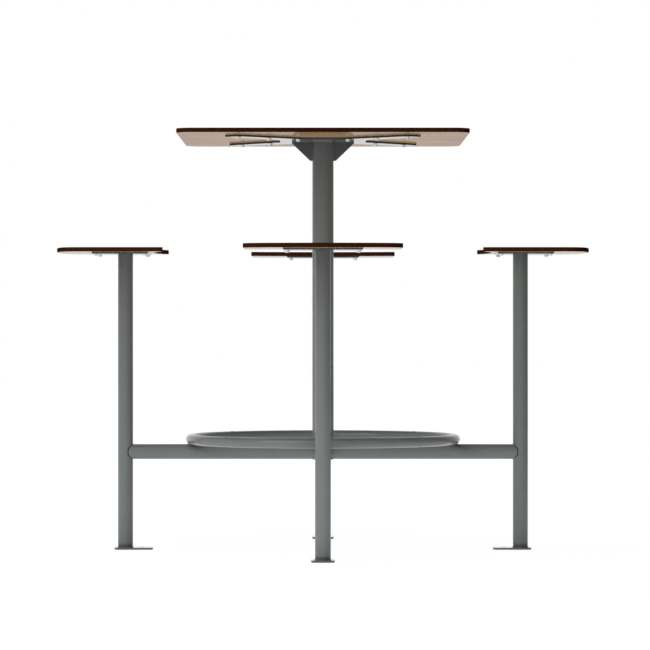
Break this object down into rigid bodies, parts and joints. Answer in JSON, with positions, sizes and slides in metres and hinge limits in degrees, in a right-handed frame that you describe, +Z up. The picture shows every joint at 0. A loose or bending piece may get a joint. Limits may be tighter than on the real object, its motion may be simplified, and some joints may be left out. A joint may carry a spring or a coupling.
{
  "type": "table with attached swivel seats",
  "caption": "Bar-height square table with laminate top and curved laminate swivel seats, carried on one welded round-tube frame with a foot ring and floor plates.",
  "frame": {"origin": "on the floor, under the middle of the table, level with the undersides of the foot plates", "axes": "+Z up, +X to the right-hand seat and -Y to the front seat, the one nearest the viewer"},
  "size_m": [1.4976, 1.4976, 1.168],
  "materials": {
    "powder_coat": "mid-grey satin powder coat on welded steel",
    "laminate": "compact laminate board, wood decor faces on a dark brown core",
    "zinc": "bright zinc-plated bolts",
    "bright_steel": "turned steel",
    "bush_polymer": "grey bearing polymer",
    "brass": "plain brass"
  },
  "bodies": {
    "frame": {"table_top": "laminate", "table_inserts": "brass", "table_bolts": "zinc", "table_spider": "powder_coat", "spider_gusset_right": "powder_coat", "spider_gusset_left": "powder_coat", "table_column": "powder_coat", "column_cap": "powder_coat", "seat_post_right": "powder_coat", "foot_plate_right": "powder_coat", "cross_beam_right": "powder_coat", "foot_ring_right": "powder_coat", "post_bush_right": "bush_polymer", "spindle_guide_right": "bush_polymer", "seat_post_back": "powder_coat", "foot_plate_back": "powder_coat", "cross_beam_back": "powder_coat", "foot_ring_back": "powder_coat", "post_bush_back": "bush_polymer", "spindle_guide_back": "bush_polymer", "seat_post_left": "powder_coat", "foot_plate_left": "powder_coat", "cross_beam_left": "powder_coat", "foot_ring_left": "powder_coat", "post_bush_left": "bush_polymer", "spindle_guide_left": "bush_polymer", "seat_post_front": "powder_coat", "foot_plate_front": "powder_coat", "cross_beam_front": "powder_coat", "foot_ring_front": "powder_coat", "post_bush_front": "bush_polymer", "spindle_guide_front": "bush_polymer"},
    "seat_right": {"seat_board_right": "laminate", "seat_inserts_right": "brass", "seat_bolts_right": "zinc", "seat_bracket_right": "powder_coat", "seat_spindle_right": "bright_steel", "spindle_retainer_right": "bright_steel"},
    "seat_back": {"seat_board_back": "laminate", "seat_inserts_back": "brass", "seat_bolts_back": "zinc", "seat_bracket_back": "powder_coat", "seat_spindle_back": "bright_steel", "spindle_retainer_back": "bright_steel"},
    "seat_left": {"seat_board_left": "laminate", "seat_inserts_left": "brass", "seat_bolts_left": "zinc", "seat_bracket_left": "powder_coat", "seat_spindle_left": "bright_steel", "spindle_retainer_left": "bright_steel"},
    "seat_front": {"seat_board_front": "laminate", "seat_inserts_front": "brass", "seat_bolts_front": "zinc", "seat_bracket_front": "powder_coat", "seat_spindle_front": "bright_steel", "spindle_retainer_front": "bright_steel"}
  },
  "joints": [
    {"name": "seat_right_swivel", "type": "hinge", "parent": "frame", "child": "seat_right", "pos_m": [0.5573, 0, 0.832], "axis": [0, 0, 1], "continuous": true},
    {"name": "seat_back_swivel", "type": "hinge", "parent": "frame", "child": "seat_back", "pos_m": [0, 0.5573, 0.832], "axis": [0, 0, 1], "continuous": true},
    {"name": "seat_left_swivel", "type": "hinge", "parent": "frame", "child": "seat_left", "pos_m": [-0.5573, 0, 0.832], "axis": [0, 0, 1], "continuous": true},
    {"name": "seat_front_swivel", "type": "hinge", "parent": "frame", "child": "seat_front", "pos_m": [0, -0.5573, 0.832], "axis": [0, 0, 1], "continuous": true}
  ]
}
